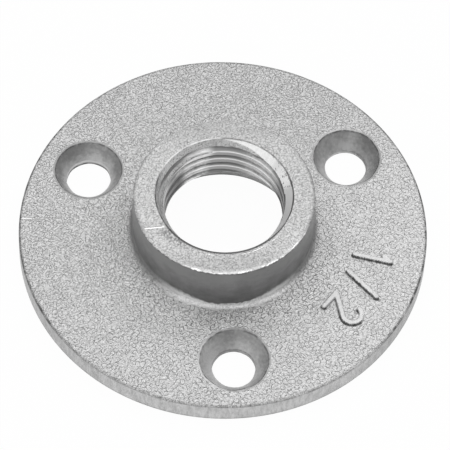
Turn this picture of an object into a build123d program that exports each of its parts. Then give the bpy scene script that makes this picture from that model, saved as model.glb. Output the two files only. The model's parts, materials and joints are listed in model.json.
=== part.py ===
# Threaded floor flange: a round cast plate with a raised hub, a pipe bore and three screw holes.
# Millimetres. +Z runs along the pipe axis, out of the hub. The origin is the centre of the underside.
import os
from math import radians, tan

from build123d import *

# Base plate
disc_diameter = 62.0
plate_thickness = 3.5
rim_draft = 1.5  # degrees, so that the casting leaves its mould
rim_edge_radius = 0.3
foot_edge_radius = 0.15

# Hub
flange_height = 12.2
hub_diameter = 27.1  # across the turned face on top
hub_draft = 2.0  # degrees
hub_root_radius = 0.6

# Pipe bore, at the crests of a 1/2 inch pipe thread
bore_diameter = 17.9
mouth_chamfer = 1.35  # width of the chamfer that leads the pipe in
mouth_angle = 38.0  # degrees from the pipe axis
relief_flare = 2.65  # how far the bore widens towards the underside
relief_depth = 4.8

# Screw holes
hole_count = 3
hole_circle_diameter = 46.0
hole_diameter = 6.3
countersink_diameter = 10.2
countersink_angle = 82.0  # degrees, included
first_hole_angle = -90.0  # degrees, on the side that faces the viewer

disc_radius = disc_diameter / 2
rim_top_radius = disc_radius - plate_thickness * tan(radians(rim_draft))
hub_radius = hub_diameter / 2
hub_foot_radius = hub_radius + (flange_height - plate_thickness) * tan(radians(hub_draft))
bore_radius = bore_diameter / 2
mouth_radius = bore_radius + mouth_chamfer
mouth_depth = mouth_chamfer / tan(radians(mouth_angle))
relief_radius = bore_radius + relief_flare

with BuildPart() as floor_flange:
    # Half the section, from the foot up the rim, over the plate and hub, and down the bore
    with BuildSketch(Plane.XZ):
        with BuildLine():
            Polyline(
                (disc_radius, 0),
                (rim_top_radius, plate_thickness),
                (hub_foot_radius, plate_thickness),
                (hub_radius, flange_height),
                (mouth_radius, flange_height),
                (bore_radius, flange_height - mouth_depth),
                (bore_radius, relief_depth),
                (relief_radius, 0),
                close=True,
            )
        make_face()
    revolve(axis=Axis.Z)

    # The cast corners: the largest where the hub meets the plate, small ones at the rim
    round_edges = floor_flange.edges().filter_by(GeomType.CIRCLE)
    plate_edges = round_edges.filter_by_position(Axis.Z, plate_thickness, plate_thickness)
    hub_root, rim_edge = plate_edges.sort_by(SortBy.RADIUS)
    foot_edge = round_edges.group_by(Axis.Z)[0].sort_by(SortBy.RADIUS)[-1]
    fillet(hub_root, hub_root_radius)
    fillet(rim_edge, rim_edge_radius)
    fillet(foot_edge, foot_edge_radius)

    # Countersunk holes for the screws that hold the plate down
    with Locations(Plane.XY.offset(plate_thickness)):
        with PolarLocations(hole_circle_diameter / 2, hole_count, first_hole_angle):
            CounterSinkHole(
                hole_diameter / 2,
                countersink_diameter / 2,
                counter_sink_angle=countersink_angle,
            )

floor_flange.part.label = "floor_flange"
os.makedirs("parts", exist_ok=True)
export_step(floor_flange.part, "parts/floor_flange.step")
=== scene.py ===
# Threaded floor flange: the cast and machined surfaces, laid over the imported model
import json
import random
from math import atan2, ceil, cos, degrees, exp, hypot, inf, pi, radians, sin, tan
from types import SimpleNamespace

import bpy
from mathutils import Matrix, Vector, noise
from mathutils.geometry import delaunay_2d_cdt


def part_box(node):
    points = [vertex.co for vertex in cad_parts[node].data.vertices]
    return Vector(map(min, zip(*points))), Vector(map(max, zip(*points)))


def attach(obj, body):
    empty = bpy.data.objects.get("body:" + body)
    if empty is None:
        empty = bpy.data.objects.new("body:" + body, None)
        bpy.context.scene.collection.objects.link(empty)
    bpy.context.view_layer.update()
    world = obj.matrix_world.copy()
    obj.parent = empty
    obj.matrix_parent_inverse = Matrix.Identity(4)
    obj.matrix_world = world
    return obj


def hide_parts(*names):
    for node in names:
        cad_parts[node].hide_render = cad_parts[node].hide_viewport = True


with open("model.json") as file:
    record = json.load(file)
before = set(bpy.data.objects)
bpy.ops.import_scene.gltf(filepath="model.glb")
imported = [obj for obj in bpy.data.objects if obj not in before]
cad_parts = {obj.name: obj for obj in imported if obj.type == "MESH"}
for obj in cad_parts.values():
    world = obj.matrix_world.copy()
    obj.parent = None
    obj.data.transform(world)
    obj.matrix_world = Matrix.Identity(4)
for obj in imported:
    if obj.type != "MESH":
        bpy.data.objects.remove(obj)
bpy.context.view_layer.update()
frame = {"record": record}

mm = 0.001  # the shapes below are in millimetres
turn = 2 * pi
gridRow = 0.866  # from row to row in a grid of triangles, as a share of its gap
closest = 1e-5  # points nearer than this are in one place
random.seed(7)

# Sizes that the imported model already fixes
mounts = {mount["name"]: mount for mount in frame["record"]["mounts"]}
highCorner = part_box("floor_flange")[1]
discRadius = highCorner.x / mm
topHeight = highCorner.z / mm
boreRadius = mounts["pipe_thread"]["dims"]["r_mm"]
boreMiddle = mounts["pipe_thread"]["pos_m"][2] / mm
holeCircle = mounts["screw_holes"]["dims"]["pcd_mm"] / 2

# Where no note says otherwise, a pair of numbers is a soft edge: where there is none of something, and
# where all of it is. A patch is a value, how far it strays, a layer of noise, and the size of the
# patches. A zone has soft edges in some directions from the axis, and may have a share, which is how
# strongly it shows.
plate = {
    "thickness": 3.5,
    "rimDraft": 1.5,  # degrees
    "rimEdge": 0.3,  # radius of the rim's upper corner
    "footEdge": 0.15,
    "rimStrip": 0.15,  # width of the flat strip inside that corner
    "wallRows": 8,
    "cornerRows": 6,  # round every rounded corner of the part
    "segments": 480,  # points round every ring
    "pointGap": 0.9,  # between the points of the upper face
    "underGap": 2,  # and of the flat underside
    "jitter": 0.2,  # how far they stray from an even grid, as a share of the gap
    "edgeGap": 0.3,  # between them and the edges of their face
    "sharp": 32,  # degrees, from where on an edge looks sharp
    "sag": 0.05,  # how far the cast skin wanders from flat
    "sagPatch": (0.5, 0.5, 0, 9),
    "sagOut": (4, 6),  # out from the bore's wall
    "sagHeights": [(0.5, 3), (6, 3.6)],  # where it begins and ends
}
hub = {
    "radius": 13.55,
    "draft": 2,
    "rootRadius": 0.6,
    "edgeRadius": 0.14,  # worn round at the outer edge of the top face
    "wallRows": 14,
    "faceRows": 8,
}
thread = {
    "pitch": 25.4 / 14,
    "depth": 0.8,
    "taper": 1 / 32,  # radius lost per millimetre of depth
    "crestShare": 0.44,  # share of the pitch that is flat at the crest
    "crestHeight": 9.92,  # where the top of a crest crosses the +X side
    "rowsPerTurn": 16,
    "rootRound": 0.16,
    "ragged": 0.035,  # how far the tap tore the crests
    "tearSize": 0.6,
    "tearCircle": 4,  # radius on which the noise of the tears is read
    "endGap": 0.01,  # a row that is nearer to the mouth or the underside joins its ring
}
mouth = {
    "radius": 10.3,
    "edge": 0.3,  # radius of its rounded edge
    "slope": 0.67,  # radius lost per millimetre of depth
    "cutSlope": 1,  # the same on the side where the tool cut deepest
    "cutMiddle": 22,  # the middle of that side, in degrees
    "cutSpread": 62,
    "ragged": 0.6,  # share of the thread's tears that the chamfer shows
    "lip": 0.33,  # how far the edge leans in on the opposite side
    "lipMiddle": -100,
    "lipSpread": 72,
    "lipUp": (-1.2, -0.4),  # from the height of the top face
    "lipOut": (0.6, 0.1),  # from the mouth's edge
    "width": 1.1,  # of the chamfer, straight down
    "cutEnd": 96,  # degrees, where the tool stopped cutting at the outer edge
    "cutSlant": 55,  # and how much sooner it did so further in
    "cutStart": -130,  # where it began
}
recess = {
    # the cored widening under the thread
    "radius": 11.75,
    "depth": 4.8,
    "rise": 1.6,  # how much higher it reaches on one side
    "side": 22,  # the middle of that side, in degrees
    "spread": 48,
}
screwHoles = {
    "countersink": 5.1,
    "edge": 0.15,  # radius of the worn edges
    "flatRing": 0.3,  # width of the ring of plate round a countersink
    "uneven": 0.09,  # how far the drill wandered
    "unevenSize": 2,
    "segments": 120,
    "coneRows": 12,
    "landRows": 4,
    # each hole: its angle, its radius at the bottom, and the height of its straight part
    "holes": [(-90, 3.2, 0.8), (30, 3.2, 0.55), (150, 3.4, 1)],
}

points, faces, faceFinish = [], [], []
# a point's marks are its wear and painted highlight, and its grime and painted shade; in the bore
# the second is how deep in a groove it lies, which paints the grooves' shade, or 1 to 2 in the recess
marks = []
castSkin, mouthCut, threadCut, holeCut = range(4)
# edge marks: wear with a painted highlight, and grime with painted shade; the rim's edges and a
# countersink's lower corner get painted shade
plain, wearAndHighlightMark, grimeAndShadeMark = (0, 0), (1, 0), (0, 1)
rimMark, drilledMark = (0, 0.5), (0.2, 0.9)


def addPoint(x, y, z, mark=plain):
    points.append([x, y, z])
    marks.append(mark)
    return len(points) - 1


def addFace(corners, finish):
    kept = [corner for i, corner in enumerate(corners) if corner != corners[i - 1]]
    if len(kept) > 2:
        faces.append(tuple(kept))
        faceFinish.append(finish)


def drift(x, y, z, size):
    # a smooth random number, about -1 to 1, that changes over the given length
    return noise.noise(Vector((x, y, z)) / size)


def patchy(x, y, patch):
    value, stray, layer, size = patch
    return value + stray * drift(x, y, layer, size)


def addObject(name, data):
    made = bpy.data.objects.new(name, data)
    bpy.context.scene.collection.objects.link(made)
    return made


def softStep(ends, value, start=0):
    # 0 at the first end and 1 at the second, both counted from the start
    low, high = start + min(ends), start + max(ends)
    share = max(0, min(1, (value - low) / (high - low)))
    rising = share * share * (3 - 2 * share)
    return rising if ends[0] < ends[1] else 1 - rising


def hump(angle, middle, spread, power=4):
    # 1 in the middle of a stretch round the axis, falling to 0 beyond its spread; in degrees
    away = (angle - middle + 180) % 360 - 180
    return exp(-(away / spread) ** power)


def roundedCorner(place, back, ahead, rounding, mark):
    # where the arc of a rounded corner starts, and the points along it
    half = back.angle(ahead) / 2
    start = place + back * rounding / tan(half)
    centre = place + (back + ahead).normalized() * rounding / sin(half)
    swing = pi - 2 * half
    spoke = start - centre
    side = 1 if back.cross(ahead) < 0 else -1
    arc = []
    for i in range(1, plate["cornerRows"] + 1):
        angle = side * swing * i / plate["cornerRows"]
        cosine, sine = cos(angle), sin(angle)
        turned = Vector((spoke.x * cosine - spoke.y * sine, spoke.x * sine + spoke.y * cosine))
        arc.append((*(centre + turned), mark))
    return start, arc


def sectionPath(corners):
    # points along a section; a corner is (radius, height, rounding, rows before it, mark)
    path = []
    for before, here, after in zip(corners, corners[1:], corners[2:] + [None]):
        place = Vector(here[:2])
        rounding, rows, mark = here[2:]
        start, arc = place, []
        if rounding:
            back = (Vector(before[:2]) - place).normalized()
            ahead = (Vector(after[:2]) - place).normalized()
            start, arc = roundedCorner(place, back, ahead, rounding, mark)
        if path:
            last = Vector(path[-1][:2])
            path += [(*last.lerp(start, i / rows), plain) for i in range(1, rows + 1)]
            if not rounding:
                path[-1] = (*start, mark)
        else:
            path.append((*start, plain))
        path += arc
    return path


def ringDrift(centre, radius, angle):
    x = centre[0] + radius * cos(angle)
    y = centre[1] + radius * sin(angle)
    return drift(x, y, 0, screwHoles["unevenSize"])


def addRing(radius, height, count, centre=(0, 0), uneven=0, mark=plain):
    ring = []
    for i in range(count):
        angle = turn * i / count
        out = radius + uneven * ringDrift(centre, radius, angle)
        x = centre[0] + out * cos(angle)
        y = centre[1] + out * sin(angle)
        ring.append(addPoint(x, y, height, mark))
    return ring


def sweepRings(path, finish, count=plate["segments"], centre=(0, 0), uneven=0):
    # a ring of points at each place of a section, and the faces between them
    rings = [addRing(radius, height, count, centre, uneven, mark) for radius, height, mark in path]
    for lower, upper in zip(rings, rings[1:]):
        for i in range(count):
            j = (i + 1) % count
            addFace((lower[i], lower[j], upper[j], upper[i]), finish)
    return rings


# The raised size mark on the plate
sizeMark = {
    "height": 0.36,  # how far the figures stand off the plate
    "tall": 5.5,
    "stroke": 0.28,  # half the width of a stroke
    "shoulder": 0.2,  # width of the sloping side of a stroke
    "circle": 23.1,  # radius at the middle of the figures
    "places": {"one": -17.5, "slash": -29.5, "two": -42.5},
    # strokes of each figure, in shares of its height, from its middle
    "figures": {
        "one": [[(-0.13, 0.3), (0, 0.5), (0, -0.5)]],
        "slash": [[(0.2, 0.5), (-0.2, -0.5)]],
        "two": [[(-0.27, -0.5), (0.27, -0.5)]],
    },
    "bowlRadius": 0.26,  # the bowl of the two, in the same shares
    "bowlMiddle": 0.24,
    "bowlAngles": range(165, -40, -12),
    "pointGap": 0.12,  # between the close points under the figures
    "pointReach": 0.25,  # how far past a stroke they go
    "ends": 1.2,  # and at most past the figures' ends
    "patch": (0, 0.05, 3, 0.5),
    "light": (0.04, 0.1),  # the side of a stroke that is shaded
    "shade": (0.02, 0.08),
    "shadeFoot": (0.1, 0.5),
    "shadeEnd": (0.25, 0),
    "shadeStrength": 1.7,
    "wornTop": 0.12,
}


def markStrokes():
    bowl = []
    for angle in sizeMark["bowlAngles"]:
        spot = radians(angle)
        across = sizeMark["bowlRadius"] * cos(spot)
        bowl.append((across, sizeMark["bowlMiddle"] + sizeMark["bowlRadius"] * sin(spot)))
    circle, tall = sizeMark["circle"], sizeMark["tall"]
    strokes = []
    for figure, angle in sizeMark["places"].items():
        spot = radians(angle)
        out = Vector((cos(spot), sin(spot)))
        along = Vector((sin(spot), -cos(spot)))
        for line in sizeMark["figures"][figure]:
            line = bowl + line if figure == "two" else line
            strokes.append([out * (circle + v * tall) + along * u * tall for u, v in line])
    return strokes


strokeLines = markStrokes()


def strokeDistance(x, y):
    here = Vector((x, y))
    nearest = inf
    for line in strokeLines:
        for start, end in zip(line, line[1:]):
            span = end - start
            share = max(0, min(1, (here - start).dot(span) / span.length_squared))
            nearest = min(nearest, (here - start - span * share).length)
    return nearest


def nearMark(x, y):
    half = sizeMark["tall"] / 2 + sizeMark["ends"]
    if abs(hypot(x, y) - sizeMark["circle"]) > half:
        return False
    return strokeDistance(x, y) < sizeMark["stroke"] + sizeMark["shoulder"] + sizeMark["pointReach"]


def grid(columns, rows, gap, jitter=0):
    # the places of a grid of even triangles, each moved at random by a share of the gap
    for row in rows:
        for column in columns:
            x = (column + 0.5 * (row % 2)) * gap
            y = row * gap * gridRow
            if jitter:
                x += random.uniform(-jitter, jitter) * gap
                y += random.uniform(-jitter, jitter) * gap
            yield x, y


def markPoints():
    gap = sizeMark["pointGap"]
    count = int((sizeMark["circle"] + sizeMark["tall"]) / gap)
    return [spot for spot in grid(range(count), range(-count, 1), gap) if nearMark(*spot)]


# A flat face is filled with triangles between its rings, round the screw holes
def unevenReach(x, y, centre, radius):
    # how far a point is outside an uneven ring
    angle = atan2(y - centre[1], x - centre[0])
    there = ringDrift(centre, radius, angle)
    return hypot(x - centre[0], y - centre[1]) - radius - screwHoles["uneven"] * there


def onFace(x, y, face, margin):
    if not face.inner + margin < hypot(x, y) < face.outer - margin:
        return False
    return all(unevenReach(x, y, centre, radius) > margin for centre, radius in face.holes)


def facePoints(face, upwards):
    # a loose grid of points, with close ones under the size mark
    gap = plate["pointGap"] if upwards else plate["underGap"]
    reach = range(-int(face.outer / gap) - 1, int(face.outer / gap) + 2)
    spread = []
    for spot in grid(reach, reach, gap, plate["jitter"]):
        if onFace(*spot, face, plate["edgeGap"]) and not (upwards and nearMark(*spot)):
            spread.append(spot)
    if upwards:
        spread += [spot for spot in markPoints() if onFace(*spot, face, plate["edgeGap"])]
    return [Vector(spot) for spot in spread]


def fillFlat(outer, inner, holeRings, holeEdges, upwards):
    height = points[outer[0]][2]
    loops = [outer, inner] + holeRings
    owners = [i for loop in loops for i in loop]
    edges, first = [], 0
    for loop in loops:
        edges += [(first + i, first + (i + 1) % len(loop)) for i in range(len(loop))]
        first += len(loop)
    reach = [Vector(points[loop[0]][:2]).length for loop in (outer, inner)]
    face = SimpleNamespace(outer=reach[0], inner=reach[1], holes=holeEdges)
    flat = [Vector(points[i][:2]) for i in owners] + facePoints(face, upwards)
    made, _, triangles, origins, _, _ = delaunay_2d_cdt(flat, edges, [], 0, closest)
    index = []
    for place, origin in zip(made, origins):
        owner = min(origin) if origin else -1
        known = 0 <= owner < len(owners)
        index.append(owners[owner] if known else addPoint(place.x, place.y, height))
    for triangle in triangles:
        middle = sum((made[i] for i in triangle), Vector((0, 0))) / 3
        if onFace(middle.x, middle.y, face, 0):
            corners = tuple(index[i] for i in triangle)
            addFace(corners if upwards else corners[::-1], castSkin)


# Outside of the casting: the rim, the hub up to the bore's mouth, and the screw holes
def buildRim():
    height = plate["thickness"]
    rimTop = discRadius - height * tan(radians(plate["rimDraft"]))
    path = sectionPath([
        (0, 0),
        (discRadius, 0, plate["footEdge"], 1, rimMark),
        (rimTop, height, plate["rimEdge"], plate["wallRows"], rimMark),
        (rimTop - plate["rimEdge"] - plate["rimStrip"], height, 0, 1, plain),
    ])
    return sweepRings(path, castSkin)


def buildHub():
    height = plate["thickness"]
    hubFoot = hub["radius"] + (topHeight - height) * tan(radians(hub["draft"]))
    # the last corner only says which way the mouth's edge turns down, at 45 degrees
    path = sectionPath([
        (discRadius, height),
        (hubFoot, height, hub["rootRadius"], 1, plain),
        (hub["radius"], topHeight, hub["edgeRadius"], hub["wallRows"], wearAndHighlightMark),
        (mouth["radius"], topHeight, mouth["edge"], hub["faceRows"], grimeAndShadeMark),
        (mouth["radius"] - 1, topHeight - 1, 0, 1, plain),
    ])[:-1]
    return sweepRings(path, castSkin)


def buildHole(centre, radius, land):
    height, edge, wide = plate["thickness"], screwHoles["edge"], screwHoles["countersink"]
    path = sectionPath([
        (discRadius, height),
        (wide + screwHoles["flatRing"], height, 0, 1, plain),
        (wide, height, edge, 1, grimeAndShadeMark),
        (radius, land, edge, screwHoles["coneRows"], drilledMark),
        (radius, 0, 0, screwHoles["landRows"], grimeAndShadeMark),
    ])
    rings = sweepRings(path, holeCut, screwHoles["segments"], centre, screwHoles["uneven"])
    return rings[0], rings[-1], path[0][0]


def buildCasting():
    rim, hubRings = buildRim(), buildHub()
    reliefRing = addRing(recess["radius"], 0, plate["segments"])
    tops, bottoms, topEdges, bottomEdges = [], [], [], []
    for angle, radius, land in screwHoles["holes"]:
        spot = radians(angle)
        centre = holeCircle * cos(spot), holeCircle * sin(spot)
        top, bottom, topRadius = buildHole(centre, radius, land)
        tops.append(top)
        bottoms.append(bottom)
        topEdges.append((centre, topRadius))
        bottomEdges.append((centre, radius))
    fillFlat(rim[-1], hubRings[0], tops, topEdges, True)
    fillFlat(rim[0], reliefRing, bottoms, bottomEdges, False)
    buildBore(hubRings[-1], reliefRing)


boreMarks = {
    # the first three are counted from the chamfer, outwards
    "crests": (0, 0.12),  # the thread's crests get a painted highlight
    "darkLine": (0.3, 0.05),  # a line of painted shadow under the chamfer
    "brink": (0.16, 0.03),  # and a bright one beside it, where the tool didn't cut
    "brinkPatch": (0.8, 0.8, 3, 0.8),
    "overRecess": (0, 0.2),
    "dark": (0.9, 1.3),  # strength of the painted shadow line where the tool cut, and on a stretch at the left
    "leftStretch": (142, 16),  # its middle and spread
    "recess": (0, 0.3),  # share of the recess's height, downwards
}


def grooveDepth(share):
    # share of the pitch below the top of a crest; 0 on the crest, 1 at the bottom of the groove
    flat, soft = thread["crestShare"], thread["rootRound"]
    if share <= flat:
        return 0
    across = 2 * (share - flat) / (1 - flat) - 1
    return (hypot(1, soft) - hypot(across, soft)) / (hypot(1, soft) - soft)


def tearPlace(angle):
    return thread["tearCircle"] * cos(angle), thread["tearCircle"] * sin(angle)


def threadMarks(angle, height, edge, proud, groove, cutting, crestTop):
    # proud is how far the thread's wall lies outside the chamfer
    left = hump(degrees(angle), *boreMarks["leftStretch"])
    bright = max(1 - cutting, softStep(boreMarks["crests"], proud))
    bright = bright * softStep(boreMarks["overRecess"], height, edge) * (1 - left)
    cutDark, leftDark = boreMarks["dark"]
    line = (cutDark * cutting + leftDark * left) * softStep(boreMarks["darkLine"], proud)
    brink = (1 - cutting) * (1 - left) * softStep(boreMarks["brink"], proud)
    brink = brink * patchy(*tearPlace(angle), boreMarks["brinkPatch"])
    return bright if crestTop else max(0, brink), min(1, groove + line)


def borePoint(angle, height, row):
    # the index of a new point on the bore's wall, and whether it lies on the mouth's chamfer
    share = (row % thread["rowsPerTurn"]) / thread["rowsPerTurn"]
    groove = grooveDepth(share)
    tear = thread["ragged"] * drift(*tearPlace(angle), height, thread["tearSize"])
    wall = boreRadius + (height - boreMiddle) * thread["taper"] + tear + thread["depth"] * groove
    cutting = hump(degrees(angle), mouth["cutMiddle"], mouth["cutSpread"])
    slope = mouth["slope"] + (mouth["cutSlope"] - mouth["slope"]) * cutting
    chamfer = mouth["radius"] - (topHeight - height) * slope + mouth["ragged"] * tear
    raised = hump(degrees(angle), recess["side"], recess["spread"], 2)
    edge = recess["depth"] + recess["rise"] * raised
    under = 1 - height / edge
    cored = boreRadius + (recess["radius"] - boreRadius) * under
    radius = max(wall, chamfer, cored)
    mark = plain
    if radius == wall:
        mark = threadMarks(angle, height, edge, wall - chamfer, groove, cutting, share == 0)
    if radius == cored:
        mark = (0, 1 + softStep(boreMarks["recess"], under))
    point = addPoint(radius * cos(angle), radius * sin(angle), height, mark)
    return point, radius == chamfer


def buildBore(mouthRing, reliefRing):
    # rows of points that climb with the thread, so that its edges stay crisp
    count, perTurn, pitch = plate["segments"], thread["rowsPerTurn"], thread["pitch"]
    mouthTop = points[mouthRing[0]][2]
    rows = (ceil(mouthTop / pitch) + 2) * perTurn
    crestTop = thread["crestHeight"]
    while crestTop < mouthTop:
        crestTop += pitch
    columns, onMouth = [], set(mouthRing)
    for i in range(count):
        column = []
        for row in range(rows):
            height = crestTop - pitch * row / perTurn + pitch * i / count
            if height >= mouthTop - thread["endGap"]:
                column.append(mouthRing[i])
            elif height <= thread["endGap"]:
                column.append(reliefRing[i])
            else:
                point, chamfered = borePoint(turn * i / count, height, row)
                column.append(point)
                if chamfered:
                    onMouth.add(point)
        columns.append(column)
    for i in range(count):
        column, beside = columns[i], columns[(i + 1) % count]
        lag = perTurn if i == count - 1 else 0
        for row in range(rows - 1):
            a, b = max(0, row - lag), max(0, row + 1 - lag)
            corners = (column[row], beside[a], beside[b], column[row + 1])
            addFace(corners, mouthCut if onMouth.issuperset(corners) else threadCut)


print("building the casting")
buildCasting()

# Then the skin wanders a little, the size mark rises, and the edges get ragged and worn, with painted
# highlights and painted shade
rimEdge = {
    "band": 0.6,  # width and height of the rim's edge
    "sides": {"aside": (20, 28), "share": 1.6},
    "patch": (0.8, 0.6, 8, 2),
}
mouthEdge = {
    "height": 0.2,  # how far the marks reach down, and out from the edge
    "width": 0.25,
    "bright": {"back": (4, 7), "right": (1.8, 0)},
    "brightPatch": (0.5, 0.7, 6, 1.5),
    "dark": 1.6,  # strength of the line of painted shade, which is weaker in three places
    "weakBack": {"back": (2, 5)},
    "weakPatch": (1, 0.8, 9, 1.5),
    "weakLeft": {"left": (4, 8), "share": 0.5},
    "weakFront": {"front": (3, 6), "right": (-0.5, 2), "share": 1.5},
}
burr = {
    # a ragged lip along the hub's top edge, on one side
    "middle": -104,  # degrees round the hub
    "spread": 76,
    "brightMiddle": -78,  # where it was rubbed bright
    "brightSpread": 42,
    # painted shade on the top edge at these sides
    "darkSides": [172, -2],
    "darkSpread": 38,
    "darkShare": 0.65,
    "from": (-0.65, -0.3),  # from the top face and from the hub's edge
    "width": 0.18,
    "tooth": 0.8,  # length of a tooth
    "teeth": (0.4, 0.9, 1.1),  # their height, and what large and small waves add
    "lean": (-0.3, -0.05),  # from the top face, as are the next two
    # a painted shadow under the lip
    "below": (-0.6, -0.2),
    "belowEnd": (-0.1, -0.13),
    "belowPatch": (0.6, 1.2, 7, 1),
    "rubPatch": (0.6, 0.8, 4, 1.2),
    "nickPatch": (0, 0.2, 5, 2.5),
}


def inZone(x, y, zone):
    ways = {"right": x, "left": -x, "aside": abs(x), "back": y, "front": -y}
    part = zone.get("share", 1)
    for way, value in ways.items():
        if way in zone:
            part *= softStep(zone[way], value)
    return part


# painted shade along the rim's upper edge, stronger at the sides and in patches
def shadeRimEdge(i, x, y):
    more = 1 + inZone(x, y, rimEdge["sides"])
    marks[i] = (0, marks[i][1] * more * patchy(x, y, rimEdge["patch"]))


# a painted highlight along the mouth's edge at the back, and a line of painted shade elsewhere
def lightAndShadeMouthEdge(i, x, y):
    back = inZone(x, y, mouthEdge["bright"])
    weak = inZone(x, y, mouthEdge["weakBack"]) * patchy(x, y, mouthEdge["weakPatch"])
    weak = max(weak, *(inZone(x, y, mouthEdge[name]) for name in ("weakLeft", "weakFront")))
    bright = marks[i][1] * back * patchy(x, y, mouthEdge["brightPatch"])
    marks[i] = (bright, (mouthEdge["dark"] - weak) * marks[i][1] * (1 - back))


def pushOut(i, x, y, reach, distance):
    points[i][0] += distance * x / reach
    points[i][1] += distance * y / reach


def leanMouth(i, x, y, z, reach, angle):
    leaning = hump(angle, mouth["lipMiddle"], mouth["lipSpread"])
    inwards = softStep(mouth["lipUp"], z, topHeight) * softStep(mouth["lipOut"], reach - mouth["radius"])
    pushOut(i, x, y, reach, -mouth["lip"] * leaning * inwards)


def sagPlate(i, x, y, z, reach):
    rising, falling = plate["sagHeights"]
    onPlate = softStep(plate["sagOut"], reach, boreRadius) * softStep(rising, z)
    wander = patchy(x, y, plate["sagPatch"])
    points[i][2] = z - plate["sag"] * wander * onPlate * softStep(falling, z)


def raiseMark(i, x, y):
    side = sizeMark["stroke"] + sizeMark["shoulder"]
    away = strokeDistance(x, y)
    share = softStep((sizeMark["stroke"], side), away + patchy(x, y, sizeMark["patch"]))
    points[i][2] += sizeMark["height"] * (1 - share)
    # painted shade on each stroke's side away from the light, carried by the grime-and-shade mark
    lightX, lightY = sizeMark["light"]
    lower = softStep(sizeMark["shade"], strokeDistance(x - lightX, y - lightY) - away)
    foot = softStep(sizeMark["shadeFoot"], share) * softStep(sizeMark["shadeEnd"], away, side)
    marks[i] = (sizeMark["wornTop"] * (1 - share), sizeMark["shadeStrength"] * lower * foot)


def tearHub(i, x, y, z, reach, angle):
    near = hump(angle, burr["middle"], burr["spread"])
    bright = hump(angle, burr["brightMiddle"], burr["brightSpread"])
    tooth, (height, large, small) = burr["tooth"], burr["teeth"]
    teeth = height + large * drift(x, y, 1, 2 * tooth) + small * drift(x, y, 2, tooth / 2)
    push = burr["width"] * near * max(0, teeth) * softStep(burr["lean"], z, topHeight)
    pushOut(i, x, y, reach, push)
    rubbed = bright * patchy(x, y, burr["rubPatch"]) + max(0, patchy(x, y, burr["nickPatch"]))
    # painted shadow under the burr's lip, and painted shade on the top edge at the left and right
    below = softStep(burr["below"], z, topHeight) * softStep(burr["belowEnd"], z, topHeight)
    sides = sum(hump(angle, side, burr["darkSpread"]) for side in burr["darkSides"])
    dark = near * below * max(0, patchy(x, y, burr["belowPatch"]))
    dark += burr["darkShare"] * sides * marks[i][0]
    marks[i] = (max(0, marks[i][0] * rubbed), dark)


def settlePoints():
    high, band = plate["thickness"], rimEdge["band"]
    lipReach = mouth["radius"] + mouth["lipOut"][0]
    burrDown, burrIn = burr["from"]
    for i, (x, y, z) in enumerate(points):
        reach = hypot(x, y)
        angle = degrees(atan2(y, x))
        if high - band < z <= high and reach > discRadius - band:
            shadeRimEdge(i, x, y)
        if z > topHeight - mouthEdge["height"] and abs(reach - mouth["radius"]) < mouthEdge["width"]:
            lightAndShadeMouthEdge(i, x, y)
        if z > topHeight + mouth["lipUp"][0] and reach < lipReach:
            leanMouth(i, x, y, z, reach, angle)
        if z < plate["sagHeights"][1][0]:
            sagPlate(i, x, y, z, reach)
        if abs(z - high) < closest and nearMark(x, y):
            raiseMark(i, x, y)
        if z > topHeight + burrDown and reach > hub["radius"] + burrIn:
            tearHub(i, x, y, z, reach, angle)


def makeMesh():
    mesh = bpy.data.meshes.new("castFlange")
    mesh.from_pydata([Vector(point) * mm for point in points], [], faces)
    mesh.polygons.foreach_set("material_index", faceFinish)
    mesh.polygons.foreach_set("use_smooth", [True] * len(faces))
    mesh.update()
    mesh.set_sharp_from_angle(angle=radians(plate["sharp"]))
    for name, values in zip(("worn", "grime"), zip(*marks)):
        mesh.attributes.new(name, "FLOAT", "POINT").data.foreach_set("value", values)
    return mesh


settlePoints()
castFlange = addObject("castFlange", makeMesh())
triangleCount = sum(len(face) - 2 for face in faces)
print("casting:", len(points), "points,", triangleCount, "triangles")


class Wire:
    # an output socket, so that shader maths reads as sums and products
    def __init__(self, finish, socket):
        self.finish, self.socket = finish, socket

    def maths(self, operation, *values):
        return self.finish.node("Math", {"operation": operation}, dict(enumerate(values)))

    def __abs__(self):
        return self.maths("ABSOLUTE", self)

    def orMore(self, other):
        return self.maths("MAXIMUM", self, other)

    def step(self, low, high):
        settings = {"interpolation_type": "SMOOTHSTEP"}
        return self.finish.node("MapRange", settings, {0: self, 1: low, 2: high})

    def along(self, ends, start=0):
        # as softStep does
        rising = self.step(start + min(ends), start + max(ends))
        return rising if ends[0] < ends[1] else 1 - rising


def operator(operation, swapped):
    def combine(self, other):
        return self.maths(operation, *((other, self) if swapped else (self, other)))
    return combine


for word, operation in (("add", "ADD"), ("sub", "SUBTRACT"), ("mul", "MULTIPLY"), ("truediv", "DIVIDE")):
    setattr(Wire, "__" + word + "__", operator(operation, False))
    setattr(Wire, "__r" + word + "__", operator(operation, True))
Wire.__pow__ = operator("POWER", False)


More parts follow.
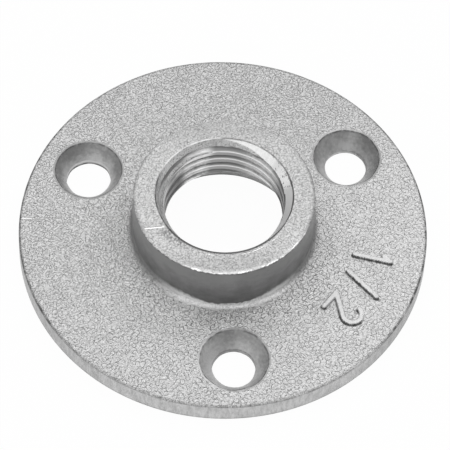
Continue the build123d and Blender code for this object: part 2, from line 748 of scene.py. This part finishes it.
class Finish:
    # a material in the making, from the values of its look
    def __init__(self, name, look=None, tree=None):
        if tree is None:
            self.material = bpy.data.materials.new(name)
            self.material.use_nodes = True
            tree = self.material.node_tree
        self.tree, self.look = tree, look
        self.tree.nodes.clear()
        if look:
            self.measure()

    def node(self, kind, settings=None, sockets=None, output=0):
        made = self.tree.nodes.new("ShaderNode" + kind)
        for name, value in (settings or {}).items():
            setattr(made, name, value)
        for name, value in (sockets or {}).items():
            if isinstance(value, Wire):
                self.tree.links.new(value.socket, made.inputs[name])
            else:
                made.inputs[name].default_value = value
        return Wire(self, made.outputs[output]) if made.outputs else made

    def vector(self, operation, *values, **sockets):
        sockets = {**dict(enumerate(values)), **sockets}
        return self.node("VectorMath", {"operation": operation}, sockets)

    def axes(self, place):
        parts = self.node("SeparateXYZ", None, {0: place})
        return [Wire(self, output) for output in parts.socket.node.outputs]

    def measure(self):
        # the place in millimetres, and the ways to measure zones: a length, and its start
        there = self.node("TexCoord", output="Object")
        self.place = self.vector("SCALE", there, Scale=1 / mm)
        x, y, z = self.axes(self.place)
        out = (x * x + y * y) ** 0.5
        self.x, self.y, self.z, self.out = x, y, z, out
        self.ways = {
            "right": (x, 0), "left": (0 - x, 0), "aside": (abs(x), 0),
            "back": (y, 0), "front": (0 - y, 0), "endways": (abs(y), 0),
            "up": (z, 0), "overPlate": (z, plate["thickness"]), "overTop": (z, topHeight),
            "out": (out, 0), "overRim": (out, discRadius), "overMouth": (out - mouth["radius"], 0),
        }

    def zone(self, name):
        part = 1
        for way, value in self.look[name].items():
            if way != "share":
                length, start = self.ways[way]
                value = length.along(value, start)
            part = value * part
        return part

    def stretched(self, across, up):
        # the place, with its width or height squeezed or drawn out
        return self.vector("MULTIPLY", self.place, (across, across, up))

    def warped(self, size, reach):
        # the place, pushed about by a soft noise
        push = self.node("TexNoise", None, {"Vector": self.place, "Scale": 1 / size}, "Color")
        push = self.vector("SUBTRACT", push, (0.5, 0.5, 0.5))
        return self.vector("ADD", self.place, self.vector("SCALE", push, Scale=reach))

    def mark(self, name):
        return self.node("Attribute", {"attribute_name": name}, None, "Fac")

    def grain(self, values, place=None):
        sockets = dict(zip(("Scale", "Detail", "Roughness", "Distortion"), values))
        return self.node("TexNoise", None, {"Vector": place or self.place, **sockets})

    def patches(self, name, place=None):
        values, ends = self.look[name]
        return self.grain(values, place).along(ends)

    def wander(self, name):
        # a length that strays either way
        values, reach = self.look[name]
        return (self.grain(values) - 0.5) * reach

    def worms(self, name):
        # narrow winding lines, where the noise crosses its middle value
        values, width = self.look[name]
        return abs(self.grain(values) - 0.5).along((width, 0))

    def rings(self, place):
        # loose rings round scattered lumps, and how far out of its lump a point is
        scale, radius, width = self.look["rings"]
        settings = {"feature": "F1", "voronoi_dimensions": "2D"}
        out = self.node("TexVoronoi", settings, {"Vector": place, "Scale": scale}, "Distance")
        return abs(out - radius).along((width, 0)), out

    def blend(self, share, first, second):
        return self.node("Mix", {"data_type": "RGBA"}, {0: share, 6: first, 7: second}, 2)

    def layered(self, colour, *layers):
        # a colour under some layers: how much of each shows, and its colour
        for share, over in layers:
            over = self.look[over] if isinstance(over, str) else over
            colour = self.blend(share, colour, over)
        return colour

    def bump(self, height):
        sockets = {"Strength": 1, "Distance": self.look["skinHeight"] * mm, "Height": height}
        return self.node("Bump", None, sockets)

    def done(self, sockets):
        surface = self.node("BsdfPrincipled", None, sockets)
        self.node("OutputMaterial", None, {"Surface": surface})
        return self.material


def grey(shade):
    return shade, shade, shade, 1


# In the looks, a noise is its scale, per millimetre, detail, roughness and distortion. It may stand
# with the soft edge that cuts it off, with how far it moves something, or with the width of its lines.
zincCast = {
    "colour": grey(0.82),
    "dark": grey(0.20),
    # the wall is painted much darker than the plate and darker still at its foot, painted shade; the root
    # is painted pale in front, painted light
    "wallColour": grey(0.32),
    "wallFoot": grey(0.16),
    "rootColour": grey(0.86),
    "rimColour": grey(0.66),
    "rimDark": grey(0.40),
    "bright": grey(0.98),
    "grime": grey(0.10),
    "metallic": 0.7,
    "roughness": 0.48,
    "skinHeight": 0.1,
    # the parts of the casting
    "aside": {"aside": (2, 8)},
    "ahead": {"front": (8, 13)},
    "top": {"overTop": (-0.22, -0.1)},
    "wall": {"out": (14.4, 14.2)},
    "rim": {"overRim": (-0.35, -0.15), "overPlate": (-0.1, -0.3)},
    "foot": (0.3, 0.65, 1.35),  # over the plate, and how much higher it ends at the sides
    "footWander": ((1.5, 2), 0.8),
    "root": {"overPlate": (-0.3, 0)},
    "rootOut": (14.75, 14.5),
    "rootWander": ((1.3, 2), 0.9),
    # its pebbles; each depth is followed by what coarse skin and nearness to the hub add to it
    "pale": 0.76,
    "ringDepth": (0.15, 0.2, 0.3),
    "wormDepth": (0.36, -0.18, 0.12),
    "gritDepth": (1.15, -0.15, 0),
    "rings": (1.22, 0.42, 0.12),  # scale, radius and width
    "ringWarp": (0.7, 0.35),  # size of the noise that bends them, and how far it does
    "broken": ((2.3, 1), (0.33, 0.52)),
    "worms": ((2.1, 0), 0.11),
    "grit": (4, 1, 0.7),
    "coarseSlant": 0.7,
    "coarse": (-12, 16),
    "coarseShade": 0.02,
    "core": (0.25, 0.14, 0.2),  # pale, a painted highlight in each ring: radius, width and strength
    "nearHub": {"out": (21, 15.5), "front": (4, 10)},
    "nearHubPale": (0.09, 0.14),  # and more at the sides
    "nearHubLeft": {"left": (0, 6), "share": 0.1},
    "figures": (0, 0.1),
    "figureSmooth": 0.7,
    "figurePale": 0.45,
    # the plate and the hub's top face
    "tone": (0.95, 0.1),  # and how much less on the top face
    "mottle": ((0.3, 3), (0.3, 0.7)),
    "mottleShade": 0.07,
    "ends": {"endways": (8.5, 12), "share": 0.2},
    # painted shade towards the back
    "far": {"back": (8, 24), "share": 0.06},
    # painted light towards the right and front
    "clean": {"right": (-5, 30), "back": (20, 0), "share": 0.12},
    "shaded": {"out": (17, 14.6), "share": 0.06},
    # the hub's wall and its root on the plate, with painted shade and painted light
    "stain": (0.7, 4, 0.6),
    "stainSize": (0.7, 1),  # how the noise is squeezed, across and up
    "stainDepth": 1.3,
    "wallRise": (0.8, 6),  # where the wall turns paler out of its painted shade, over the plate, and how slowly
    "cover": (0.35, 0.4, 0.45),  # of the root, more in front, and the least grit
    # painted shade in the corner at the sides
    "corner": {"out": (14.35, 14.1), "share": 0.35},
    # a painted highlight on the root's steep part in front
    "steep": {"overPlate": (0.3, 0.6), "share": 0.7},
    "rimStreaks": ((1.5, 4, 0.75, 0.4), (0.3, 0.7)),
    "rimStreakSize": (1, 0.3),  # the same
    "rimLeft": {"left": (17, 27), "share": 0.3},
    "rimRight": {"right": (16, 24), "share": 0.4},
    "rimCover": 0.85,
    "smooth": (0.5, 0.9, 0.5, 0.8),  # the top face, the wall, the root in front and the rim
    # a nick across the hub's top face, then faint ones on the plate: start, end, width, strength
    "scratches": [
        ((-12.18, -5.20), (-9.06, -5.00), 0.12, 1),
        ((-30.40, 3.21), (-28.74, 3.11), 0.14, 0.5),
        ((-26.72, -0.22), (-24.54, 1.79), 0.14, 0.35),
        ((13.83, 18.02), (15.02, 19.09), 0.14, 0.6),
    ],
    "scratchCore": 0.4,  # share of the width that is fully bright
    "scratchEnds": [(-0.2, 0.2), (0, -0.3)],
    "scratched": {"overPlate": (-0.3, -0.1)},
    # an arc before the mouth that was rubbed bright, and the bright edge of the burr
    "rubOut": 10.58,
    "rubWidth": (0.1, 0.02),
    "rubPart": {"front": (7.5, 8.5), "right": (-3.5, -2.8)},
    "rub": ((0.7, 2), (0.48, 0.56)),
    "burrOut": (0, 0.08),
    "burrWidth": 0.12,
    "burrWander": ((1.1, 2), 0.7),
    "burrPart": {"front": (6, 8), "right": (-8, -5)},
    "shinyMetallic": 0.3,
    "shinyRoughness": 0.25,
    # painted shade at the mouth's front edge, a smudge of grime before it, and grime and painted shade
    # wherever the marks have them
    "brink": {"overMouth": (0.01, -0.12), "front": (3, 6), "share": 0.9},
    "smudge": {"overMouth": (1.6, 0.6), "front": (4.5, 6), "left": (4, 5.5), "share": 0.55},
    "smudgeEnd": {"front": (9.3, 8.3)},
    "smudgeBits": ((2.6, 1), (0.42, 0.58)),
    "uneven": ((1.1, 2), (0.35, 0.65)),
    "unevenGrime": (0.5, 0.45),  # the least of it, and how much more in patches
}


def surveyCast(finish):
    # how far each point is on each part of the casting, 0 to 1
    look, zone, above = zincCast, finish.zone, plate["thickness"]
    low, high, aside = look["foot"]
    foot = finish.z + finish.wander("footWander")
    hub = foot.step(above + low, above + high + zone("aside") * aside)
    frayed = (finish.out + finish.wander("rootWander")).along(look["rootOut"])
    parts = {name: zone(name) for name in ("aside", "ahead", "top", "rim")}
    wall = hub * (1 - parts["top"]) * zone("wall")
    return SimpleNamespace(hub=hub, wall=wall, root=(1 - hub) * zone("root") * frayed, **parts)


def makePebbles(finish, on):
    # the lumps of the cast skin, and the fine grit on them
    look = zincCast
    coarse = (finish.x * look["coarseSlant"] - finish.y).along(look["coarse"]) * (1 - on.top)
    near = finish.zone("nearHub") * (1 - on.hub)

    def depth(name):
        plainly, coarsely, nearly = look[name]
        return plainly + coarsely * coarse + nearly * near

    broken = finish.patches("broken")
    ring, out = finish.rings(finish.warped(*look["ringWarp"]))
    grit = finish.grain(look["grit"])
    pale, aside = look["nearHubPale"]
    lumps = look["pale"] + near * (pale + on.aside * (aside + finish.zone("nearHubLeft")))
    lumps = lumps - ring * broken * depth("ringDepth") - finish.worms("worms") * depth("wormDepth")
    radius, width, strength = look["core"]
    core = abs(out - radius).along((width, 0)) * broken * coarse
    lumps = lumps + (grit - 0.5) * depth("gritDepth") + core * strength - coarse * look["coarseShade"]
    figure = finish.mark("worn").along(look["figures"]) * (1 - on.hub)
    lumps = lumps * (1 - look["figureSmooth"] * figure) + look["figurePale"] * figure
    return lumps, grit


def colourFaces(finish, on, lumps):
    # the plate and the hub's top face
    look, zone = zincCast, finish.zone
    tone, less = look["tone"]
    mottled = finish.patches("mottle") * look["mottleShade"]
    return finish.layered(
        look["dark"],
        (lumps * (tone - on.top * less), "colour"),
        # painted shade towards the back and before the hub, painted light towards the right and front
        (mottled + zone("ends") * on.top + zone("far"), "dark"),
        (zone("clean") * (1 - on.hub), "bright"),
        (zone("shaded") * (1 - on.hub) * on.ahead, "dark"),
    )


def colourWall(finish, on, grit, colour):
    # the hub's wall, in painted shade, and its root: painted light in front, painted shade at the sides
    look = zincCast
    start, rise = look["wallRise"]
    stain = (finish.grain(look["stain"], finish.stretched(*look["stainSize"])) - 0.5) * look["stainDepth"]
    paler = (finish.z - plate["thickness"] - start) / rise + stain
    cover, more, least = look["cover"]
    covered = on.root * (cover + more * on.ahead) * (least + grit)
    return finish.layered(
        colour,
        (on.wall, finish.layered(look["wallFoot"], (paler, "wallColour"))),
        (
            covered + on.root * finish.zone("corner") * (1 - on.ahead),
            finish.layered(look["wallFoot"], (on.ahead, "rootColour")),
        ),
        (finish.zone("steep") * on.root * on.ahead, "bright"),
    )


def colourRim(finish, on, colour):
    look = zincCast
    streaks = finish.patches("rimStreaks", finish.stretched(*look["rimStreakSize"]))
    sides = [(finish.zone(side), "dark") for side in ("rimLeft", "rimRight")]
    rim = finish.layered(look["rimDark"], (streaks, "rimColour"), *sides)
    return finish.layered(colour, (on.rim * look["rimCover"], rim))


def makeScratches(finish):
    look, nicks = zincCast, 0
    starting, ending = look["scratchEnds"]
    for (x0, y0), (x1, y1), width, strength in look["scratches"]:
        slope = (y1 - y0) / (x1 - x0)
        off = abs(finish.y - (finish.x * slope + (y0 - slope * x0)))
        line = off.along((width, width * look["scratchCore"]))
        line = line * finish.x.along(starting, x0) * finish.x.along(ending, x1)
        nicks = nicks + line * finish.zone("scratched") * strength
    return nicks


def makeShine(finish, on):
    # metal that was scratched or rubbed bright
    look = zincCast
    rub = abs(finish.out - look["rubOut"]).along(look["rubWidth"])
    rub = rub * finish.zone("rubPart") * finish.patches("rub") * on.top
    edge = finish.out - hub["radius"] + look["burrWidth"] + finish.wander("burrWander")
    edge = edge.along(look["burrOut"]) * finish.zone("burrPart") * on.top
    return makeScratches(finish).orMore(rub.orMore(edge))


def makeZincCast():
    finish, look = Finish("zincCast", zincCast), zincCast
    on = surveyCast(finish)
    lumps, grit = makePebbles(finish, on)
    colour = colourFaces(finish, on, lumps)
    colour = colourWall(finish, on, grit, colour)
    colour = colourRim(finish, on, colour)
    smudge = finish.zone("smudge") * finish.zone("smudgeEnd") * finish.patches("smudgeBits")
    shiny, worn = makeShine(finish, on), finish.mark("worn")
    least, more = look["unevenGrime"]
    colour = finish.layered(
        colour,
        (smudge * on.top, "grime"),
        # painted shade along the mouth's front edge
        (finish.zone("brink") * on.top, "grime"),
        (shiny.orMore(worn), "bright"),
        (finish.mark("grime") * (least + more * finish.patches("uneven")), "grime"),
    )
    skin = lumps
    for part, smoother in zip((on.top, on.wall, on.root * on.ahead, on.rim), look["smooth"]):
        skin = skin * (1 - part * smoother)
    return finish.done({
        "Base Color": colour,
        "Metallic": look["metallic"] * (1 - worn) + shiny * look["shinyMetallic"],
        "Roughness": look["roughness"] - shiny * look["shinyRoughness"],
        "Normal": finish.bump(skin * (1 - shiny)),
    })


mouthIron = {
    "skin": grey(0.76),
    "skinDark": grey(0.34),
    "cut": grey(0.72),
    "cutLeft": grey(0.42),
    "cutLow": grey(0.66),
    "cutHigh": grey(1),
    "dark": grey(0.12),
    "roughness": (0.5, -0.28, 0.2),  # then what the cut and its crescent add
    "metallic": (0.3, 0.4),  # then what the cut adds
    "skinHeight": 0.05,
    "cutSmooth": 0.95,
    "grit": (3.2, 2, 0.7),
    "cutWander": 0.05,  # of the line where the cut ends
    "cutEnd": (0.6, -0.6),  # degrees
    "cutStart": (0, 12),
    # the cast skin, paler and more speckled at the back, duller at the left
    "worms": ((1.9, 0), 0.12),
    "wormDepth": 0.5,
    "lumpShare": (0.5, 0.6),  # next to the grit, in the colour and in the bumps
    "skinEdge": (0.4, 1.3),
    "pale": {"left": (1, 3.5), "back": (3.5, 6)},
    "paler": (0.4, 5),  # and how much the specks change it
    "specks": (4, 1, 0.7),
    "dull": {"left": (6, 8), "back": (6, 2.5), "share": 0.25},
    # the cut metal, streaked and spotted at the left, a bright crescent at the right: cut metal with a
    # painted highlight, whitest towards the back
    "cutLeftwards": {"left": (1, 8)},
    "streaks": ((2.2, 2, 0.6), (0.35, 0.75)),
    "streakSize": (1, 0.3),  # how the noise is squeezed, across and up
    "streakShare": 0.25,
    "spots": ((1.4, 3, 0.7), (0.45, 0.6)),
    "spotted": {"left": (2, 6), "share": 0.45},
    "crescent": {"back": (7, 3.5)},
    "crescentBack": {"back": (0.5, 2.5)},
    "torn": {"right": (7.6, 8.2), "back": (0.5, 1.5)},
    "tornEnd": {"back": (7.6, 6.8)},
    "pits": ((2.6, 3, 0.7, 1), (0.58, 0.61)),
    # painted shade along the mouth's edge
    "rimGrime": 0.75,
}


def makeMouthIron():
    finish, look = Finish("mouthIron", mouthIron), mouthIron
    zone, layered = finish.zone, finish.layered
    around = finish.y.maths("ARCTAN2", finish.y, finish.x) * degrees(1)
    grit = finish.grain(look["grit"])
    depth = (topHeight - finish.z) / mouth["width"] + (grit - 0.5) * look["cutWander"]
    ahead = around + depth * mouth["cutSlant"] - mouth["cutEnd"]
    fresh = ahead.along(look["cutEnd"]) * around.along(look["cutStart"], mouth["cutStart"])

    lumps = 1 - finish.worms("worms") * look["wormDepth"]
    paler, speckled = look["paler"]
    lumpTone, lumpBump = look["lumpShare"]
    tone = (lumps * lumpTone + grit).along(look["skinEdge"])
    tone = tone + zone("pale") * (paler + (finish.grain(look["specks"]) - 0.5) * speckled) - zone("dull")
    skin = layered(look["skinDark"], (tone, "skin"))
    streaks = finish.patches("streaks", finish.stretched(*look["streakSize"]))
    crescent = zone("crescent")
    cut = layered(
        look["cut"],
        (zone("cutLeftwards"), "cutLeft"),
        (streaks * look["streakShare"], "skinDark"),
        (finish.patches("spots") * zone("spotted"), "dark"),
        (crescent, layered(look["cutLow"], (zone("crescentBack"), "cutHigh"))),
    )
    pits = finish.patches("pits") * (zone("torn") * zone("tornEnd"))
    grime = finish.mark("grime") * look["rimGrime"]
    rough, freshRough, crescentRough = look["roughness"]
    metal, freshMetal = look["metallic"]
    return finish.done({
        "Base Color": layered(skin, (fresh, cut), (pits, "dark"), (grime, "dark")),
        "Metallic": metal + fresh * (1 - crescent) * freshMetal,
        "Roughness": rough + fresh * freshRough + fresh * crescent * crescentRough,
        "Normal": finish.bump((lumps * lumpBump + grit) * (1 - fresh * look["cutSmooth"])),
    })


threadIron = {
    "colour": grey(0.35),
    # painted shade in the grooves, deeper with their depth
    "groove": grey(0.26),
    "tornColour": grey(0.66),
    "bright": grey(1),
    "dark": grey(0.12),
    "cored": grey(0.5),
    "coredRight": grey(0.62),
    "footRight": grey(0.45),
    "metallic": (0.9, 0.8),  # and the share of it that the recess lacks
    "roughness": (0.36, 0.6),  # and how much rougher the recess is
    "skinHeight": 0.03,
    "streaks": (1.3, 3, 0.65),
    "streakSize": (0.5, 3),  # how the noise is squeezed, across and up
    "grit": (2.5, 2, 0.6),
    "rags": (0.7, 0.3),  # shares of the streaks and the grit
    "ragsEdge": (0.36, 0.62),
    "tornLeft": {"left": (1.2, 2.2)},
    "tornLess": {"left": (6, 8.5), "share": 0.4},
    # torn, and painted light over the grooves at the right
    "tornRight": {"right": (2.5, 5), "back": (2, 4), "share": 0.85},
    "rubbed": {"up": (9.2, 9.8), "left": (0.5, 2), "share": 0.55},
    "rubbedLess": {"left": (4.5, 8), "share": 0.7},
    "shadedLeft": {"left": (1, 6), "share": 0.8},
    "shadedRight": {"right": (5, 8), "back": (5, 2), "share": 0.8},
    # painted shade low on the left of the bore, where the crests' painted highlight is weaker too
    "hidden": {"left": (4.6, 6.4), "up": (9, 8.3)},
    "hiddenDark": (0.9, 0.35),  # and how much less its crests shine
    "dulled": {"left": (2, 7), "share": 0.35},
    "right": {"right": (7, 8.5), "share": 0.5},
    "deepRight": {"right": (8, 8.8), "back": (5, 2.5), "share": 0.4},
    "leastBump": 0.2,  # where the thread isn't torn
    "recess": (0, 0.8),
    "recessBase": 0.5,
    "recessRight": {"right": (1, 4.5)},
    "recessFoot": {"up": (0.4, 2)},
}


def makeThreadIron():
    finish, look = Finish("threadIron", threadIron), threadIron
    zone, layered = finish.zone, finish.layered
    streaks = finish.grain(look["streaks"], finish.stretched(*look["streakSize"]))
    streakShare, gritShare = look["rags"]
    rags = (streaks * streakShare + finish.grain(look["grit"]) * gritShare).along(look["ragsEdge"])
    torn = zone("tornLeft") * (1 - zone("tornLess")) + zone("tornRight")
    grime, hidden = finish.mark("grime"), zone("hidden")
    darker, duller = look["hiddenDark"]
    shining = finish.mark("worn") * (1 - (zone("dulled") + hidden * duller))
    right, rough = zone("recessRight"), (grime - 1).along(look["recess"])
    foot = layered(look["dark"], (right, "footRight"))
    high = layered(look["cored"], (right, "coredRight"))
    metal, metalLess = look["metallic"]
    roughness, rougher = look["roughness"]
    # painted shade in the grooves and on the left, torn thread, painted light on the right, painted
    # highlights on the crests
    colour = layered(
        look["colour"],
        (grime, "groove"),
        (torn * rags, "tornColour"),
        (zone("rubbed") * (1 - zone("rubbedLess")), "bright"),
        ((zone("shadedLeft") + zone("shadedRight")) * grime, "dark"),
        (hidden * darker, "dark"),
        (shining, "bright"),
        (zone("right") + zone("deepRight"), "dark"),
        (rough, layered(foot, (zone("recessFoot") * (look["recessBase"] + streaks), high))),
    )
    return finish.done({
        "Base Color": colour,
        "Metallic": metal * (1 - rough * metalLess),
        "Roughness": roughness + rough * rougher,
        "Normal": finish.bump(streaks * (look["leastBump"] + torn)),
    })


holeIron = {
    "colour": grey(0.58),
    "dark": grey(0.34),
    "bright": grey(0.7),
    "grime": grey(0.12),
    "metallic": 0.8,
    "roughness": 0.5,
    "skinHeight": 0.07,
    "grit": (1.8, 3, 0.65),
    "stain": (0.45, 2),  # a noise
    "tone": (0.2, 0.6, 1.5, 1.3),  # then what depth, grit and stains add; the depth paints the cones lighter towards the bottom, painted shade of their slope
    "low": {"up": (3.5, 0.4)},
    "brightShare": 0.4,
    "grimePatches": ((1, 3), (0.35, 0.6)),
    "grimeShare": 0.8,
    "shadow": (0.5, 1),  # heights between which the shadow at the bottom ends
    "shadowLower": (0.2, 0.4),  # and how much lower they are in the left hole
    "shadowTone": (0.3, 0.4, 0.3),  # then what patches and the left hole add
    # the three holes differ
    "onLeft": {"left": (10, 12)},
    "onRight": {"right": (10, 12)},
    "leftDark": {"left": (10, 18), "share": 0.25},
    "leftPale": {"up": (2.4, 1.2), "share": 0.5},
    # where the left hole's wall has less of its grime and painted shade
    "leftClean": {"up": (0.5, 0.8)},
    "leftCleanEnd": {"up": (2.5, 1.5)},
    "frontPale": {"front": (19, 21), "left": (1, 3.5), "share": 0.6},
    "rightPale": {"back": (13.5, 16.5), "share": 0.3},
    "rightDark": {"right": (21, 24), "share": 0.3},
    "rightLit": {"right": (22, 20.5), "share": 0.9},
}


def makeHoleIron():
    finish, look = Finish("holeIron", holeIron), holeIron
    zone = finish.zone
    onLeft, onRight = zone("onLeft"), zone("onRight")
    grit = finish.grain(look["grit"])
    tone, lowTone, gritTone, stainTone = look["tone"]
    tone = tone + zone("low") * lowTone + (grit - 0.5) * gritTone
    tone = tone + (finish.grain(look["stain"]) - 0.5) * stainTone - zone("leftDark") + zone("frontPale")
    tone = tone + (zone("rightPale") - zone("rightDark")) * onRight + onLeft * zone("leftPale")
    patches = finish.patches("grimePatches")
    clean = onLeft * zone("leftClean") * zone("leftCleanEnd")
    ends = [end - onLeft * lower for end, lower in zip(look["shadow"], look["shadowLower"])]
    everywhere, inPatches, atLeft = look["shadowTone"]
    shadow = (1 - finish.z.step(*ends)) * (everywhere + patches * inPatches + onLeft * atLeft)
    colour = finish.layered(
        look["dark"],
        (tone, "colour"),
        (finish.mark("worn") * look["brightShare"], "bright"),
        # grime and painted shade at the holes' edges and corners, in patches, less on the left hole's
        # wall
        (finish.mark("grime") * patches * look["grimeShare"] * (1 - clean), "grime"),
        (shadow * (1 - onRight * zone("rightLit")), "grime"),
    )
    return finish.done({
        "Base Color": colour,
        "Metallic": look["metallic"],
        "Roughness": look["roughness"],
        "Normal": finish.bump(grit),
    })


print("making the finishes")
for material in (makeZincCast(), makeMouthIron(), makeThreadIron(), makeHoleIron()):
    castFlange.data.materials.append(material)

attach(castFlange, "root")
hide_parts("floor_flange")

studio = {
    "floorSize": 3,  # metres, from its middle to its sides
    "floorDepth": 0.00005,  # metres below the part, so that the two don't touch
    "floorColour": grey(0.85),
    "floorGlow": 0.97,  # share of the floor's white that is its own
    "skyLow": 0.16,  # brightness at the horizon and overhead
    "skyHigh": 0.70,
    "skyRise": (0.1, 0.9),
    "lamps": {
        # name: place (m), width and height (m), brightness of its face
        "overhead": ((0.12, 0.40, 1.1), (1.8, 1.4), 0.95),
        "leftFront": ((-0.64, -0.65, 0.41), (1.6, 0.45), 1.12),
        "leftBack": ((-0.95, 0.38, 0.15), (0.8, 0.28), 0.75),
        "rightFill": ((0.95, 0.1, 0.2), (1.2, 0.4), 0.85),
    },
}


def makeFloor():
    size = studio["floorSize"]
    mesh = bpy.data.meshes.new("floor")
    corners = [(-size, -size), (size, -size), (size, size), (-size, size)]
    mesh.from_pydata([(x, y, -studio["floorDepth"]) for x, y in corners], [], [(0, 1, 2, 3)])
    floor = addObject("floor", mesh)
    finish = Finish("paleFloor")
    paint = finish.node("BsdfDiffuse", None, {"Color": studio["floorColour"]})
    glow = finish.node("Emission", None, {"Strength": 1})
    path = finish.node("LightPath").socket.node
    seen, mirrored, passed = (
        Wire(finish, path.outputs[name])
        for name in ("Is Camera Ray", "Is Glossy Ray", "Is Transmission Ray")
    )
    direct = seen.orMore(mirrored.orMore(passed))
    mixed = finish.node("MixShader", None, {0: direct * studio["floorGlow"], 1: paint, 2: glow})
    finish.node("OutputMaterial", None, {"Surface": mixed})
    mesh.materials.append(finish.material)


def makeLamps():
    for name, (place, (width, height), brightness) in studio["lamps"].items():
        lamp = bpy.data.lights.new(name, "AREA")
        lamp.shape = "RECTANGLE"
        lamp.size, lamp.size_y = width, height
        lamp.energy = pi * width * height * brightness
        holder = addObject(name, lamp)
        holder.location = place
        holder.rotation_euler = (-Vector(place)).to_track_quat("-Z", "Y").to_euler()


def makeSky():
    world = bpy.data.worlds.new("studio")
    world.use_nodes = True
    bpy.context.scene.world = world
    sky = Finish("sky", tree=world.node_tree)
    rise = sky.axes(sky.node("TexCoord", output="Generated"))[2]
    low, high = studio["skyLow"], studio["skyHigh"]
    shade = sky.blend(rise.along(studio["skyRise"]), grey(low), grey(high))
    seen = sky.node("LightPath", output="Is Camera Ray")
    colour = sky.blend(seen, shade, grey(1))
    shine = sky.node("Background", None, {"Color": colour, "Strength": 1})
    sky.node("OutputWorld", None, {"Surface": shine})


camera = {
    "distance": 370.3,  # millimetres from the middle of the underside
    "azimuth": -5.93,  # degrees from straight in front
    "elevation": 58.08,
    "turn": -0.043,  # degrees, the framing
    "tip": 0.328,
    "roll": -2.22,
    "lens": 194,
    "film": 36,
    "nearest": 0.01,  # metres
}


def makeCamera():
    up = Vector((0, 0, 1))
    away, rise = radians(camera["azimuth"]), radians(camera["elevation"])
    flat = cos(rise)
    place = Vector((sin(away) * flat, -cos(away) * flat, sin(rise)))
    forward = -place
    right = forward.cross(up).normalized()
    above = right.cross(forward)
    aim = Matrix.Rotation(radians(camera["turn"]), 3, above)
    aim = aim @ Matrix.Rotation(radians(camera["tip"]), 3, right)
    aim = aim @ Matrix.Rotation(radians(camera["roll"]), 3, forward)
    axes = Matrix((aim @ right, aim @ above, -(aim @ forward))).transposed()
    lens = bpy.data.cameras.new("camera")
    lens.lens, lens.sensor_width = camera["lens"], camera["film"]
    lens.clip_start = camera["nearest"]
    holder = addObject("camera", lens)
    holder.matrix_world = Matrix.Translation(place * camera["distance"] * mm) @ axes.to_4x4()
    bpy.context.scene.camera = holder


print("lighting the studio")
makeFloor()
makeLamps()
makeSky()
makeCamera()
bpy.context.scene.view_settings.view_transform = "Standard"
